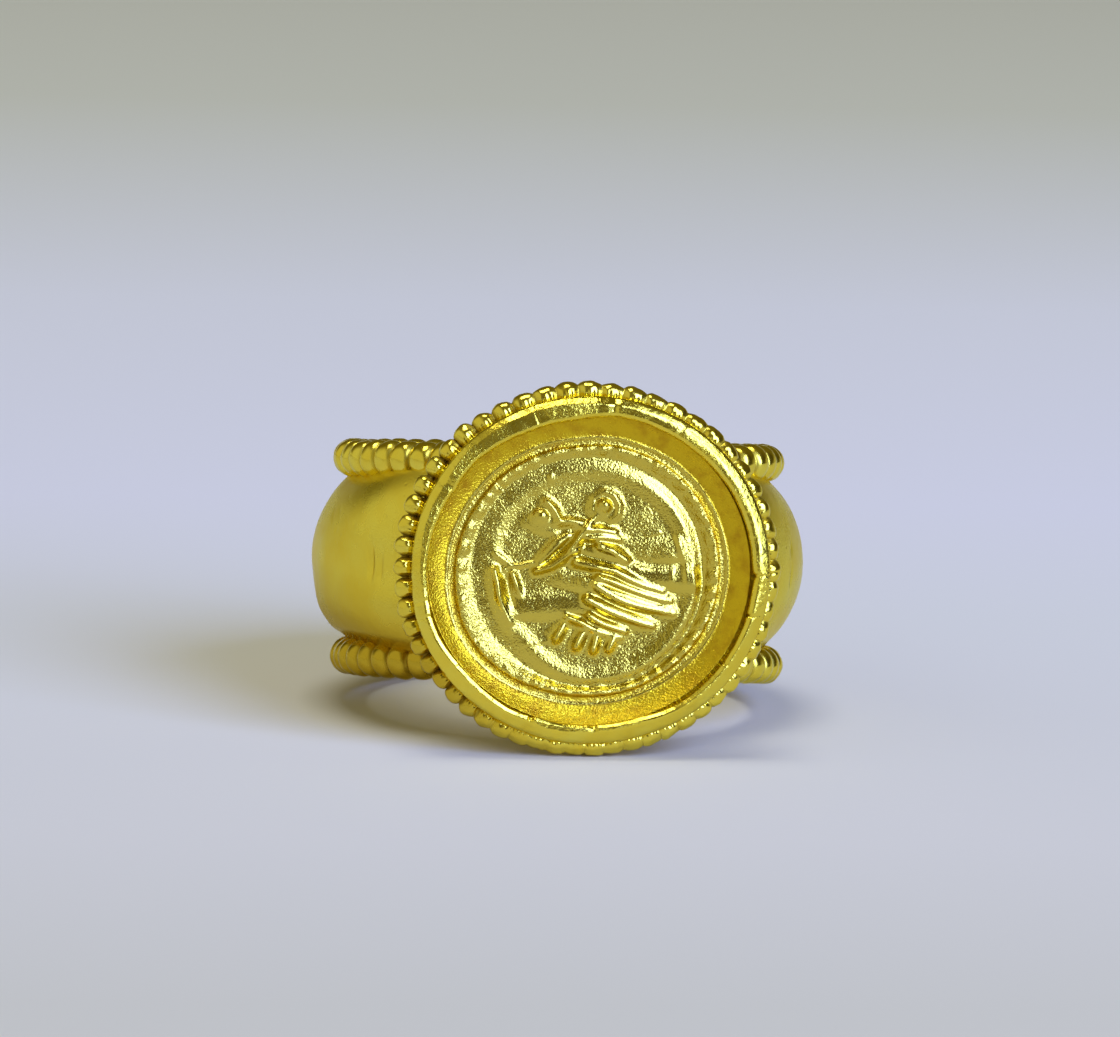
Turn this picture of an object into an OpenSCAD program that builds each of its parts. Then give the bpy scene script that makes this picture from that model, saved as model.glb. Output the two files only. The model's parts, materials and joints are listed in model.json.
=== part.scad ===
// Gold marriage ring lying on its side: a hollow band between two beaded wires, and a round cup in front
// that holds an embossed medallion. Millimetres, +Z up, origin under the middle of the ring on the surface
// that it rests on. The ring is drawn with its hoop axis along Z and its cup facing -Y, then tipped a
// little, because it rests on the lowest beads of the cup and on the back of the lower edge wire.

/* [Hoop] */
// Diameter of the finger hole
finger_d = 17; // [16:0.1:19]
// Radial height of the band, from the finger hole to its crest
band_rise = 2.65; // [2.4:0.05:3]
// Radius of the band's rounded cross section
band_bulge_r = 5; // [4.8:0.1:5.4]
// Half the height of the rounded part of the band
band_half_h = 3.75; // [3.6:0.05:3.9]
// Thickness of the gold sheet
sheet_t = 0.7; // [0.6:0.05:0.8]

/* [Edge wires] */
// Beads on each edge wire
edge_beads = 52; // [48:4:56]
// Diameter of one bead
edge_bead_d = 1.72; // [1.6:0.02:1.8]
// Height of a wire's centre above or below the middle of the band
edge_z = 4.48; // [4.4:0.02:4.6]
// Radius of the circle that the beads' centres lie on
edge_wire_r = 9.42; // [9.38:0.02:9.5]

/* [Bezel cup] */
// Distance from the hoop axis to the middle of the rolled rim
rim_y = 12.6; // [12.4:0.1:13]
// Radius of the rim's centre line
rim_r = 7.26; // [7.2:0.02:7.4]
// Radius of the roll of the rim
roll_r = 0.36; // [0.34:0.01:0.38]
// How far the cup's centre lies below the middle of the band
cup_drop = 0.16; // [0:0.02:0.3]

/* [Bezel wire] */
// Beads round the cup
cup_beads = 55; // [53:2:57]
// Diameter of one bead
cup_bead_d = 1; // [0.96:0.02:1.04]
// Distance from the hoop axis to the wire
cup_wire_y = 11.8; // [11.75:0.05:11.85]

/* [Medallion] */
// Radius of the medallion's edge
medal_r = 6.82; // [6.7:0.02:6.82]
// Ratio of the relief's width to its height
relief_oval = 1.03; // [1:0.01:1.06]
// Height of the field above the medallion's back
field_t = 0.5; // [0.4:0.05:0.6]
// Height of the highest point of the hands above the field
hands_h = 0.5; // [0.3:0.05:0.6]

/* [Hidden] */
$fn = 48;
GOLD = "gold";
PALE_GOLD = "#d9b843";

finger_r = finger_d / 2;
// Centre of the arc of the band's section
bulge_c = finger_r + band_rise - band_bulge_r;
bead_r = edge_bead_d / 2;
cup_bead_r = cup_bead_d / 2;
// Flat strips inside the two edges of the band, where the finger touches
land_t = 0.65;
land_inner_z = 3.3;
land_outer_z = 5.15;
// Wall of the cup, its floor, and the slope and neck under it
wall_r = rim_r + roll_r;
// How far the roll of the rim reaches in over the pocket
roll_overhang = 0.07;
wall_back_y = 11.15;
floor_y = 11.45;
pocket_r = rim_r - roll_r + roll_overhang;
under_r = 4.9;
under_y = 10.8;
neck_r = 3.3;
neck_y = 9.4;
cup_wire_r = wall_r + 0.15;

// Tilt at rest, from the lowest pair of cup beads in front and the lowest pair of edge beads behind
front_z = cup_wire_r * cos(180 / cup_beads) + cup_drop;
back_y = edge_wire_r * cos(180 / edge_beads);
span_y = cup_wire_y + back_y;
span_z = front_z - edge_z;
tilt = atan2(span_z, span_y) + asin((cup_bead_r - bead_r) / norm([span_y, span_z]));
lift = back_y * sin(tilt) + edge_z * cos(tilt) + bead_r;
// Furthest points before and behind, for an origin under the middle
reach_front = rim_y * cos(tilt) + (rim_r + cup_drop) * sin(tilt) + roll_r;
reach_back = bulge_c * cos(tilt) + band_bulge_r;

// Medallion: height over its back along a radius, as [radius, height], from the edge to the field
back_gap = 0.05;
border = [[medal_r, 0.75], [medal_r - 0.1, 1.02], [6.55, 0.98], [6.3, 0.78], [6.12, 0.64], [6, 0.72],
          [5.88, 0.58], [5.6, 0.54], [5.42, 0.64], [5.24, 0.76], [5, 0.74], [4.76, 0.56]];
field_r = 4.6;
cells = 44;

// Relief strokes. A row is one rounded ridge over the field, in medallion coordinates, +x to the viewer's
// right and +y up: start x, start y, end x, end y, start width, end width, share of hands_h
X1 = 0; Y1 = 1; X2 = 2; Y2 = 3; W1 = 4; W2 = 5; H = 6;
near_hand = [
    [-3.3, -1.35, -1.9, -1.4, 2.2, 2.2, 0.6],
    [-1.9, -1.4, 0.2, -1.7, 2.2, 1.6, 0.8],
    [-1.1, -0.7, 0.4, -1.1, 1.4, 1.4, 0.6],
    [-0.9, 0.2, 1.2, -0.15, 0.9, 0.9, 0.85],
    [1.2, -0.15, 3.5, -1.0, 0.9, 0.75, 1.0],
    [0.2, -0.6, 1.9, -1.0, 0.8, 0.8, 0.85],
    [1.9, -1.0, 3.8, -1.65, 0.8, 0.75, 1.0],
    [0.1, -1.25, 2.9, -2.15, 0.8, 0.75, 0.9],
    [0.1, -1.95, 1.7, -2.65, 0.8, 0.7, 0.75]
];
far_hand = [
    [4.3, -0.2, 2.6, 0.0, 1.8, 1.8, 0.45],
    [2.6, 0.9, 0.5, 1.1, 1.6, 1.4, 0.6],
    [1.7, 1.45, 0.1, 1.75, 0.7, 0.8, 0.75],
    [-1.0, -2.45, -1.2, -3.0, 0.62, 0.7, 0.7],
    [-0.3, -2.7, -0.5, -3.4, 0.62, 0.7, 0.7],
    [0.45, -2.8, 0.3, -3.5, 0.62, 0.7, 0.7],
    [1.25, -3.0, 0.95, -3.4, 0.62, 0.7, 0.6]
];
thumb = [
    [0.1, 1.8, -2.3, 0.0, 0.9, 0.6, 0.95],
    [0.3, 1.1, -2.0, -0.3, 0.8, 0.6, 0.8]
];
stems = [
    [-0.6, 1.7, 0.75, 2.8, 0.66, 0.6, 0.75],
    [0.75, 2.85, 0.85, 2.85, 1.6, 1.6, 0.55],
    [0.78, 2.85, 0.88, 2.85, 1.0, 1.0, 1.0],
    [0.1, 1.9, -1.5, 2.2, 0.66, 0.7, 0.65],
    [-1.6, 2.3, -2.0, 2.75, 1.2, 1.1, 0.7],
    [-1.6, 4.0, -1.6, 3.85, 0.6, 0.6, 0.5]
];
cuffs = [
    [-4.0, 0.35, -2.4, 0.2, 0.6, 0.6, 0.55],
    [-3.95, -0.2, -3.55, -2.0, 0.6, 0.6, 0.6],
    [-3.3, -0.6, -3.0, -2.6, 0.6, 0.6, 0.5],
    [4.0, 1.6, 4.15, 0.1, 0.6, 0.6, 0.5]
];
strokes = concat(near_hand, far_hand, thumb, stems, cuffs);

// Height of one stroke at point p: a rounded ridge with soft sides, which fades out at its own width
function along(p, s) =
    let (a = [s[X1], s[Y1]], d = [s[X2], s[Y2]] - a)
    max(0, min(1, ((p - a) * d) / (d * d)));
function ridge(p, s) =
    let (k = along(p, s),
         q = [s[X1] + k * (s[X2] - s[X1]), s[Y1] + k * (s[Y2] - s[Y1])],
         w = (s[W1] + k * (s[W2] - s[W1])) / 2,
         n = norm(p - q) / w)
    n < 1 ? s[H] * hands_h * pow(1 - n * n, 1.5) : 0;
function relief(p) = field_t + max([for (s = strokes) ridge(p, s)]);

// Square rings of points pressed into round ones: ring k of the field has 8 k points
function on_square(k, i) =
    let (side = floor(i / (2 * k)), j = i % (2 * k) - k)
    side == 0 ? [k, j] : side == 1 ? [-j, k] : side == 2 ? [-k, -j] : [j, -k];
function on_round(p, r) =
    let (m = max(abs(p[0]), abs(p[1])), a = 45 * min(abs(p[0]), abs(p[1])) / m,
         u = [cos(a), sin(a)], v = abs(p[0]) >= abs(p[1]) ? u : [u[1], u[0]])
    r * [p[0] < 0 ? -v[0] : v[0], p[1] < 0 ? -v[1] : v[1]];
function ring_start(k) = k == 0 ? 0 : 1 + 4 * k * (k - 1);
function ring_point(k, i) = ring_start(k) + i % (8 * k);

module medallion_sheet() {
    half = cells / 2;
    around = 8 * half;
    flat = [for (k = [1 : half], i = [0 : 8 * k - 1]) on_round(on_square(k, i), field_r * k / half)];
    outer = [for (b = [len(border) - 1 : -1 : 0], i = [0 : around - 1])
                let (p = on_round(on_square(half, i), border[b][0])) [p[0], p[1], border[b][1]]];
    back = [for (i = [0 : around - 1])
                let (p = on_round(on_square(half, i), medal_r)) [p[0], p[1], 0]];
    points = concat([[0, 0, relief([0, 0])]],
                    [for (p = flat) [p[0], p[1], relief([p[0] * relief_oval, p[1]])]],
                    outer, back, [[0, 0, 0]]);
    first_outer = 1 + len(flat);
    last = len(points) - 1;
    loops = len(border) + 1;
    // Faces of the field: the centre fan, then between one square ring and the next
    centre = [for (i = [0 : 7]) [0, 1 + i, 1 + (i + 1) % 8]];
    between = [for (k = [1 : half - 1], side = [0 : 3], j = [0 : 2 * k - 1])
        let (a = ring_point(k, side * 2 * k + j), b = ring_point(k, side * 2 * k + j + 1),
             c = ring_point(k + 1, side * 2 * (k + 1) + j + 1),
             d = ring_point(k + 1, side * 2 * (k + 1) + j + 2))
        each [[a, c, d], [a, d, b]]];
    corners = [for (k = [1 : half - 1], side = [0 : 3])
        let (a = ring_point(k, side * 2 * k), c = ring_point(k + 1, side * 2 * (k + 1)),
             before = ring_point(k + 1, side * 2 * (k + 1) + 8 * (k + 1) - 1),
             after = ring_point(k + 1, side * 2 * (k + 1) + 1))
        each [[a, before, c], [a, c, after]]];
    rim = [for (i = [0 : around - 1])
        let (a = first_outer - around + i, b = first_outer - around + (i + 1) % around)
        each [[a, a + around, b + around], [a, b + around, b]]];
    walls = [for (l = [0 : loops - 2], i = [0 : around - 1])
        let (a = first_outer + l * around + i, b = first_outer + l * around + (i + 1) % around)
        each [[a, a + around, b + around], [a, b + around, b]]];
    floor_fan = [for (i = [0 : around - 1])
        let (a = first_outer + (loops - 1) * around + i, b = first_outer + (loops - 1) * around + (i + 1) % around)
        [a, last, b]];
    polyhedron(points, [for (f = concat(centre, between, corners, rim, walls, floor_fan)) [f[0], f[2], f[1]]]);
}

// Section of the hoop's outside, in the plane of the hoop axis
module band_outside() {
    intersection() {
        translate([bulge_c, 0]) circle(band_bulge_r);
        translate([finger_r - 0.5, -band_half_h]) square([band_bulge_r, 2 * band_half_h]);
    }
    translate([finger_r - 0.5, -land_outer_z]) square([land_t + 0.5, 2 * land_outer_z]);
}

// Section of the finger hole with the channel behind the bulging sheet
module band_inside() {
    intersection() {
        translate([bulge_c, 0]) circle(band_bulge_r - sheet_t);
        translate([0, -land_inner_z]) square([band_bulge_r * 3, 2 * land_inner_z]);
    }
    translate([0, -land_outer_z - 1]) square([finger_r, 2 * land_outer_z + 2]);
}

// Section of the cup along its own axis
module cup_section() {
    difference() {
        union() {
            polygon([[0, neck_y], [neck_r, neck_y], [under_r, under_y], [wall_r, wall_back_y],
                     [wall_r, rim_y], [0, rim_y]]);
            translate([rim_r, rim_y]) circle(roll_r);
        }
        translate([-1, floor_y]) square([pocket_r + 1, rim_y]);
    }
}

module hoop_and_cup() {
    difference() {
        union() {
            rotate_extrude() band_outside();
            translate([0, 0, -cup_drop]) rotate([90, 0, 0]) rotate_extrude() cup_section();
        }
        rotate_extrude() band_inside();
    }
}

// Beads in a circle round Z, a pair of them either side of -Y
module bead_circle(count, circle_r, r) {
    for (i = [0 : count - 1]) rotate([0, 0, (i + 0.5) * 360 / count])
        translate([0, -circle_r, 0]) sphere(r);
}

module edge_wire(z) {
    translate([0, 0, z]) bead_circle(edge_beads, edge_wire_r, bead_r);
}

module cup_wire() {
    translate([0, -cup_wire_y, -cup_drop]) rotate([90, 0, 0]) bead_circle(cup_beads, cup_wire_r, cup_bead_r);
}

// Places a piece drawn round the hoop axis as the ring lies at rest
module at_rest() {
    translate([0, (reach_front - reach_back) / 2, lift]) rotate([-tilt, 0, 0]) children();
}

module ring() {
    color(GOLD) at_rest() {
        hoop_and_cup();
        edge_wire(edge_z);
        edge_wire(-edge_z);
        cup_wire();
    }
}

module medallion() {
    color(PALE_GOLD) at_rest()
        translate([0, -floor_y - back_gap, -cup_drop]) rotate([90, 0, 0]) medallion_sheet();
}

ring();
medallion();
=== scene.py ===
import json
from math import atan2, cos, pi, radians, sin

import bmesh
import bpy
import numpy as np
from mathutils import Matrix, Vector, noise


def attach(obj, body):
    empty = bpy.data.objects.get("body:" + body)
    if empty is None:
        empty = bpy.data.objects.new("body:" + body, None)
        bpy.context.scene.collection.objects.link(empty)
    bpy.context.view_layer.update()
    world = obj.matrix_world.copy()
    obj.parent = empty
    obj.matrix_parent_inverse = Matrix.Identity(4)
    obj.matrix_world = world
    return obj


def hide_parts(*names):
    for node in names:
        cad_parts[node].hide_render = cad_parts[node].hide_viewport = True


# Gold marriage ring lying on its side. Every piece is drawn in millimetres in the ring's own frame: the hoop
# axis is Z, the cup faces -Y and +X is to the right of someone who looks at the cup. TO_REST then carries it
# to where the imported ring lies.

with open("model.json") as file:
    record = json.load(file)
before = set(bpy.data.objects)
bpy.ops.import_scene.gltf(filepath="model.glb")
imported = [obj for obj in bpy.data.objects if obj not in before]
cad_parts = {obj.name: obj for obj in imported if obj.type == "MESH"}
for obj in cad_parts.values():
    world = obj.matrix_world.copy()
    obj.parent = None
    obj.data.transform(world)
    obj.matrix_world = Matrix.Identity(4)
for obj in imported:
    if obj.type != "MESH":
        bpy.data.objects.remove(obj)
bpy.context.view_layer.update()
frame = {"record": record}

# Placement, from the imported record's finger hole
hole = next(m for m in frame["record"]["mounts"] if m["name"] == "finger_hole")
MM = 0.001
FINGER_R = hole["dims"]["r_mm"]
HOOP_CENTRE = Vector(hole["pos_m"])
TILT = atan2(hole["axis"][1], hole["axis"][2])
TO_REST = Matrix.Translation(HOOP_CENTRE) @ Matrix.Rotation(-TILT, 4, "X") @ Matrix.Scale(MM, 4)

# Band
BAND_RISE = 2.65
BAND_BULGE_R = 5
BULGE_C = FINGER_R + BAND_RISE - BAND_BULGE_R
SHEET_T = 0.7
LAND_T = 0.65
LAND_INNER_Z = 3.3
LAND_OUTER_Z = 5.15
LAND_CORNER = 0.07
# Half the height of the face, which grows taller where it nears the cup, by degrees from the cup
BAND_HALF = [[0, 41, 60, 80, 180], [4.2, 4.02, 3.8, 3.6, 3.66]]
# Degrees from the cup at which the face starts to turn from round to boxy, and is boxy
ROUND_TO_BOXY = (82, 44)
BOXY_POWER = 3.5
# Lip along each edge of the face: how far inwards from the last point, and how far beyond it
BAND_LIP = [(0.06, 0.09), (0.2, 0.14), (0.34, 0.11)]
LIP_FOOT = 0.02
# Shares of the half height between which lumps and dents fade out
FACE_FADE = (1, 0.86)
# Swelling low on the left: how far it stands out, and where it fades in, in degrees and in millimetres
SWELL_OUT = 0.26
SWELL_RIGHT = (-30, -55)
SWELL_LEFT = (-115, -85)
SWELL_TOP = (-0.6, -2.6)
BAND_STEPS = 640
BAND_FACE_STEPS = 84
CHANNEL_STEPS = 30

# Edge wires
EDGE_BEADS = 52
EDGE_BEAD_R = 0.86
EDGE_Z = 4.48
EDGE_WIRE_R = 9.42

# Cup, measured from its own axis, which lies a little below the middle of the band
CUP_X = -0.02
CUP_Z = -0.18
OVAL = 0.0215
RIM_OUTER_R = 7.78
RIM_TOP_Y = 12.96
RIM_BASE_Y = 12.52
FLOOR_Y = 11.4
WALL_BACK_Y = 11.15
UNDER_R = 4.9
UNDER_Y = 10.8
NECK_R = 3.3
CUP_STEPS = 720

# Wire round the cup
CUP_BEADS = 55
CUP_BEAD_R = 0.5
CUP_WIRE_R = 7.91
CUP_WIRE_Y = 11.8

# Medallion, in its own coordinates: +x right, +y up, height towards the viewer from the hoop axis
MEDAL_R = 7.0
MEDAL_BACK_Y = 11.5
FIELD_Y = 11.84
MEDAL_HALF_CELLS = 140

# Lumps of each surface: height and size in millimetres, and seed
BAND_LUMPS = [(0.04, 2.6, 1), (0.012, 0.8, 2)]
CUP_LUMPS = [(0.02, 1.1, 8), (0.009, 0.35, 9)]
RIM_INNER_LUMPS = [(0.015, 1.2, 4), (0.012, 0.4, 5)]
RIM_CREST_LUMPS = [(0.03, 1.5, 21)]
RIM_OUTER_LUMPS = [(0.01, 1.5, 6)]
RIM_TOP_LUMPS = [(0.02, 3, 7)]
PRICKS = [(0.0075, 0.4, 12), (0.0045, 0.18, 13)]

# Sockets taken by number: of a colour Mix, of a Random Value and of a circle
FACTOR, FIRST, SECOND, MIXED = 0, 6, 7, 2
LEAST, MOST, DRAWN = 2, 3, 1
RADIUS = 4


def hex_colour(code):
    """Linear RGBA of an sRGB hex colour."""
    parts = [int(code[i:i + 2], 16) / 255 for i in (1, 3, 5)]
    return [p / 12.92 if p <= 0.04045 else ((p + 0.055) / 1.055) ** 2.4 for p in parts] + [1]


def per_mm(size):
    """Texture scale on Object coordinates, in metres, for a pattern whose features are size millimetres."""
    return 1 / (size * MM)


def add(tree, kind, inputs=(), **settings):
    """Adds a node. Its inputs are given by name or number, or in a list from the first on. A socket, or a
    node's first output, is linked, and any other value is set."""
    node = tree.nodes.new(kind)
    for key, value in settings.items():
        setattr(node, key, value)
    for key, value in inputs.items() if isinstance(inputs, dict) else enumerate(inputs):
        if isinstance(value, bpy.types.Node):
            value = value.outputs[0]
        if isinstance(value, bpy.types.NodeSocket):
            tree.links.new(value, node.inputs[key])
        else:
            node.inputs[key].default_value = value
    return node


def smoothstep(low, high, value):
    """0 below low, 1 above high, and a smooth step between them. Low may be above high."""
    k = np.clip((value - low) / (high - low), 0, 1)
    return k * k * (3 - 2 * k)


def unevenness(points, size, seed):
    """Smooth noise from about -1 to 1 at each point, with lumps of size millimetres."""
    shift = Vector((17.3 * seed, 5.1 * seed, 3.7 * seed))
    flat = points.reshape(-1, 3) / size
    values = [noise.noise(Vector(p) + shift) for p in flat]
    return np.array(values).reshape(points.shape[:-1])


def lumps(points, table):
    """Sum of the unevenness that each row of a table gives at each point."""
    return sum(height * unevenness(points, size, seed) for height, size, seed in table)


def finish_mesh(name, points, faces, to_rest=TO_REST):
    """Object of a closed mesh, brought to where the ring lies, with its faces outward and smooth."""
    mesh = bpy.data.meshes.new(name)
    mesh.from_pydata(points.tolist(), [], faces)
    mesh.transform(to_rest)
    shell = bmesh.new()
    shell.from_mesh(mesh)
    bmesh.ops.recalc_face_normals(shell, faces=shell.faces)
    shell.to_mesh(mesh)
    shell.free()
    mesh.shade_smooth()
    piece = bpy.data.objects.new(name, mesh)
    bpy.context.scene.collection.objects.link(piece)
    return piece


def mesh_of_loops(name, loops, poles=()):
    """Mesh of closed loops of points. The last loop joins the first, or each end closes on its own pole."""
    count, around = loops.shape[:2]
    index = np.arange(count * around).reshape(count, around)
    here, there = (index[:-1], index[1:]) if len(poles) else (index, np.roll(index, -1, axis=0))
    quads = [here, np.roll(here, -1, axis=1), np.roll(there, -1, axis=1), there]
    faces = np.stack(quads, axis=-1).reshape(-1, 4).tolist()
    for row, tip in zip((index[0], index[-1]), range(count * around, count * around + len(poles))):
        faces += [[row[i - 1], row[i], tip] for i in range(around)]
    points = np.concatenate([loops.reshape(-1, 3), np.reshape(poles, (-1, 3))])
    return finish_mesh(name, points, faces)


def set_attribute(piece, name, values):
    """Stores one number for each point of the piece, for its material."""
    attribute = piece.data.attributes.new(name, "FLOAT", "POINT")
    attribute.data.foreach_set("value", np.asarray(values, dtype=np.float32).ravel())


def place(piece, node, material):
    """The finished piece takes its material and rides on the ring's one body, and its CAD node is hidden."""
    piece.data.materials.clear()
    piece.data.materials.append(material)
    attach(piece, "root")
    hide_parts(node)


# Band

def band_section(angle):
    """Closed section of the sheet at an angle from the cup, as rows of radius and height."""
    half = np.interp(abs(angle), *BAND_HALF)
    share = np.linspace(-1, 1, BAND_FACE_STEPS)
    z = half * share
    round_r = BULGE_C + np.sqrt(BAND_BULGE_R ** 2 - z ** 2)
    boxy_r = FINGER_R + BAND_RISE - np.abs(share) ** BOXY_POWER
    r = round_r + smoothstep(*ROUND_TO_BOXY, abs(angle)) * np.maximum(boxy_r - round_r, 0)
    lip = [(r[-1] - inwards, half + beyond) for inwards, beyond in BAND_LIP]
    land_r = FINGER_R + LAND_T
    land = [(land_r, half - LIP_FOOT), (land_r, LAND_OUTER_Z - LAND_CORNER),
            (land_r - LAND_CORNER, LAND_OUTER_Z), (FINGER_R + LAND_CORNER, LAND_OUTER_Z),
            (FINGER_R, LAND_OUTER_Z - LAND_CORNER), (FINGER_R, LAND_INNER_Z + LAND_CORNER),
            (FINGER_R + LAND_CORNER, LAND_INNER_Z)]
    channel_z = np.linspace(LAND_INNER_Z, -LAND_INNER_Z, CHANNEL_STEPS)
    channel_r = BULGE_C + np.sqrt((BAND_BULGE_R - SHEET_T) ** 2 - channel_z ** 2)
    upper = np.array(lip + land)
    lower = upper[::-1] * [1, -1]
    return np.concatenate([np.stack([r, z], -1), upper, np.stack([channel_r, channel_z], -1), lower])


# Dents and scuffs on the band's face: angle from the cup, height, half width and half height in millimetres,
# depth, and lean in degrees
A, Z, W, H, D, LEAN = range(6)
DENTS = [
    [-54.6, -0.1, 0.2, 0.85, 0.15, 0],
    [-51.4, -0.35, 0.16, 0.9, 0.09, 0],
    [64.2, 0.63, 0.13, 0.34, 0.05, 0],
    [64.2, -0.6, 0.12, 0.6, 0.05, 0],
    [-76, 1.9, 0.06, 0.7, 0.022, 38],
    [-72, 2.0, 0.05, 0.6, 0.02, 38],
    [-66, 1.7, 0.05, 0.5, 0.018, 40],
    [-71, 1.25, 0.12, 0.12, 0.03, 0],
    [-62, 1.55, 0.1, 0.12, 0.025, 0],
    [-57, 1.35, 0.04, 0.35, 0.02, -60],
]


def band_relief(angle, z):
    """How far the swelling stands out of the band's face, less the depth of the dents."""
    out = SWELL_OUT * smoothstep(*SWELL_RIGHT, angle) * smoothstep(*SWELL_LEFT, angle)
    out = out * smoothstep(*SWELL_TOP, z)
    for d in DENTS:
        across = radians(1) * (angle - d[A]) * (FINGER_R + BAND_RISE)
        lean = radians(d[LEAN])
        u = (across * cos(lean) + (z - d[Z]) * sin(lean)) / d[W]
        v = ((z - d[Z]) * cos(lean) - across * sin(lean)) / d[H]
        # Flat in the middle, with steeper sides
        out = out - d[D] * np.exp(-1.5 * np.hypot(u, v) ** 3)
    return out


def band_points(r, turn, z):
    """Points of the band from their radius, their turn from the cup and their height."""
    return np.stack([r * np.sin(turn), -r * np.cos(turn), z], -1)


def make_band():
    """The section swept round the hoop, with its face hammered, swollen and dented."""
    angles = np.linspace(-180, 180, BAND_STEPS, endpoint=False)
    sections = np.stack([band_section(a) for a in angles])
    turn = np.radians(angles)[:, None]
    r, z = sections[..., 0], sections[..., 1]
    face = np.zeros(r.shape[1])
    face[:BAND_FACE_STEPS] = smoothstep(*FACE_FADE, np.abs(np.linspace(-1, 1, BAND_FACE_STEPS)))
    hammered = lumps(band_points(r, turn, z), BAND_LUMPS)
    r = r + face * (band_relief(angles[:, None], z) + hammered)
    return mesh_of_loops("band", band_points(r, turn, z))


# Cup

def cup_points(r, turn, y):
    """Points of the cup from its radius, its turn from +X towards +Z, and its distance from the hoop axis."""
    oval = r * (1 + OVAL * np.cos(2 * turn))
    return np.stack([CUP_X + oval * np.cos(turn), -y, CUP_Z + oval * np.sin(turn)], -1)


def near(turn, middle, half):
    """1 at a turn given in degrees, falling smoothly to 0 at half degrees either side."""
    off = np.abs((np.degrees(turn) - middle + 180) % 360 - 180)
    return smoothstep(half, 0, off)


def along(turn, table):
    """Value of a table of angles and values at a turn, both from +X towards +Z."""
    return np.interp(np.degrees(turn) % 360, *table)


# Sections of the cup, as radius and distance from the hoop axis: inside it, and under it down to the neck
CUP_INSIDE = [(0.4, FLOOR_Y), (3.5, FLOOR_Y), (6.6, FLOOR_Y), (7.0, FLOOR_Y + 0.03), (7.03, FLOOR_Y + 0.15),
              (7.04, 12.2), (7.03, RIM_BASE_Y - 0.12)]
CUP_UNDER = [(RIM_OUTER_R - 0.08, WALL_BACK_Y), (6.6, 11.05), (UNDER_R + 0.6, UNDER_Y + 0.07),
             (UNDER_R, UNDER_Y), (4.3, 10.45), (3.7, 9.95), (NECK_R, 9.7), (NECK_R, 9.5)]
# Wall below the rim: how much of the rim's uneven outer edge it follows, and distance from the hoop axis
CUP_WALL = [(1, 12.35), (0.6, 12.2), (0.15, 11.95), (0, 11.5), (0, WALL_BACK_Y + 0.06)]
# How far the neck's last row but one lies outside its last, which is in the band's sheet
NECK_END = 0.3
# Circle on which the lumps of the rim are read
RIM_LUMPS_R = 8

# Rim, rolled by hand and worn. Each table holds angles in degrees and then the value at each.
# Radius of the inner edge, how far the crest lies outside it, and radius of the outer edge
RIM_INNER = [[0, 3, 30, 50, 80, 88, 96, 116, 130, 136, 150, 170, 190, 195, 200, 208, 216, 228, 240, 247,
              250, 290, 297, 305, 342, 347, 354, 358, 360],
             [7.08, 7.04, 7.03, 6.95, 6.92, 6.8, 6.66, 6.66, 6.76, 6.85, 6.8, 6.93, 7.05, 7.1, 7.14, 7.12,
              7.03, 7.05, 7.12, 7.06, 6.97, 6.95, 7.06, 7.13, 7.12, 7.09, 7.08, 7.15, 7.08]]
RIM_CREST = [[0, 30, 60, 80, 100, 130, 140, 160, 175, 190, 197, 207, 215, 240, 249, 255, 265, 280, 300,
              345, 360],
             [0.28, 0.28, 0.32, 0.42, 0.7, 0.62, 0.56, 0.46, 0.34, 0.19, 0.22, 0.2, 0.15, 0.15, 0.2, 0.36,
              0.3, 0.25, 0.2, 0.2, 0.28]]
RIM_OUTER = [[0, 20, 60, 85, 130, 150, 185, 197, 240, 300, 345, 360],
             [7.84, 7.84, 7.82, 7.78, 7.74, 7.67, 7.66, 7.78, 7.82, 7.86, 7.88, 7.84]]
# Slope of the filed outer flank, and share of the flank in which it turns down to that slope
RIM_SLOPE = [[0, 30, 55, 78, 84, 117, 124, 150, 200, 240, 330, 350, 360],
             [0.44, 0.47, 0.5, 0.56, 0.78, 0.78, 0.7, 0.72, 0.74, 0.8, 0.8, 0.6, 0.44]]
RIM_TURN = [[0, 60, 80, 120, 130, 340, 360], [0.36, 0.5, 0.35, 0.35, 0.3, 0.3, 0.36]]
# Steepness of the narrow bevel along the inner edge
RIM_BEVEL = [[0, 182, 196, 240, 262, 300, 320, 360], [0.65, 0.65, 0.35, 0.35, 0.8, 0.8, 0.65, 0.65]]
BEVEL_WIDTH = 0.17
# The inner side falls a little towards the medallion on the right, and rises as much on the left
INNER_TILT = 0.07
INNER_STEPS = 14
FLANK_STEPS = 26
# Folds, nicks and tears in the rim: angle, half width in degrees, depth at the crest and how far the inner
# edge is pushed out there
RIM_MARKS = [(-111, 1.6, 0.12, 0.1), (-88, 2.2, 0.06, 0.05), (-168.5, 1.2, 0.05, 0), (82, 2.2, 0.05, 0),
             (150, 2.5, 0.03, -0.04), (-15.5, 0.7, 0.06, 0.14), (-1.5, 0.8, 0.05, 0.08),
             (-34, 1.4, 0.03, 0.03), (-163, 0.8, 0.04, 0.02), (-143, 1.3, 0.03, 0.02), (110, 0.6, 0.02, 0),
             (57, 1.6, 0.03, 0)]


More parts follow.
